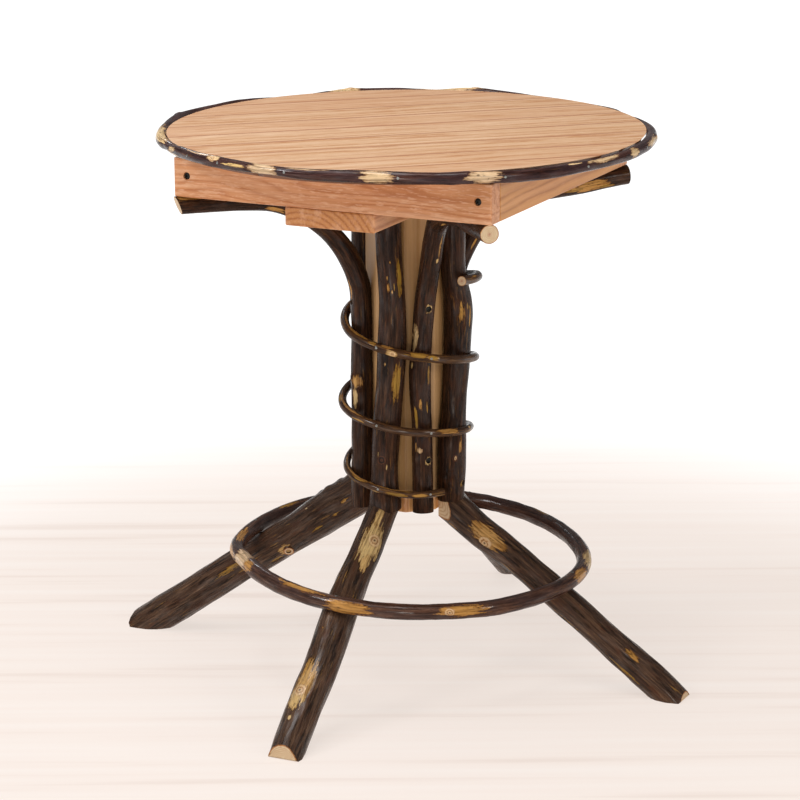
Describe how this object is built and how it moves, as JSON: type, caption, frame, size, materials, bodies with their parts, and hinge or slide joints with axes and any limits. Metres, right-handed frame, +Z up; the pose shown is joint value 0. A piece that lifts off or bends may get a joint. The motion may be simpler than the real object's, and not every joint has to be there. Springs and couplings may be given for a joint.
{
  "type": "rustic hickory table",
  "caption": "Round bar-height table with a square apron, a post wrapped in bark-on saplings, splayed pole legs, a bent foot hoop and a spiral twig.",
  "frame": {"origin": "on the floor below the centre line of the post, which is also the middle of the round top", "axes": "+Z up; -Y is the front, the apron board that shows its two black screws; +X is to the right seen from the front"},
  "size_m": [1.1881, 1.205, 1.07],
  "materials": {
    "top_oak": "edge-glued natural hardwood boards, satin clear coat",
    "apron_oak": "natural hardwood, satin clear coat",
    "batten_oak": "natural hardwood, satin clear coat",
    "core_wood": "pale softwood post, clear coat",
    "block_oak": "natural hardwood block",
    "rim_bark": "bark-on hickory twig, gloss clear coat, bark peeled to yellow wood in places",
    "pole_bark": "bark-on hickory sapling, satin clear coat",
    "leg_bark": "bark-on hickory pole with rough bark, satin clear coat",
    "hoop_bark": "bark-on bent hickory rod, gloss clear coat",
    "spiral_bark": "bark-on bent hickory twig, gloss clear coat",
    "bright_nail": "bright steel nail head",
    "black_screw": "black phosphate",
    "zinc_bolt": "zinc plated"
  },
  "bodies": {
    "root": {"apron_back": "apron_oak", "apron_front": "apron_oak", "apron_left": "apron_oak", "apron_right": "apron_oak", "apron_screws": "black_screw", "base_block": "block_oak", "batten_screws": "black_screw", "brace_back_left": "pole_bark", "brace_back_right": "pole_bark", "brace_end_screws": "black_screw", "brace_front_left": "pole_bark", "brace_front_right": "pole_bark", "brace_screws": "black_screw", "cleat_batten": "batten_oak", "core_post": "core_wood", "foot_hoop": "hoop_bark", "hoop_nails": "bright_nail", "leg_back": "leg_bark", "leg_front": "leg_bark", "leg_lag_bolts": "zinc_bolt", "leg_left": "leg_bark", "leg_right": "leg_bark", "post_lag_bolts": "zinc_bolt", "rim_nails": "bright_nail", "rim_twig_back": "rim_bark", "rim_twig_front": "rim_bark", "sapling_back": "pole_bark", "sapling_front": "pole_bark", "sapling_left": "pole_bark", "sapling_right": "pole_bark", "sapling_screws": "black_screw", "spiral_nails": "bright_nail", "spiral_twig": "spiral_bark", "top_board_1": "top_oak", "top_board_2": "top_oak", "top_board_3": "top_oak", "top_board_4": "top_oak", "top_board_5": "top_oak", "top_board_6": "top_oak", "top_board_7": "top_oak", "top_board_8": "top_oak", "top_board_9": "top_oak", "top_screws": "black_screw"}
  },
  "joints": []
}
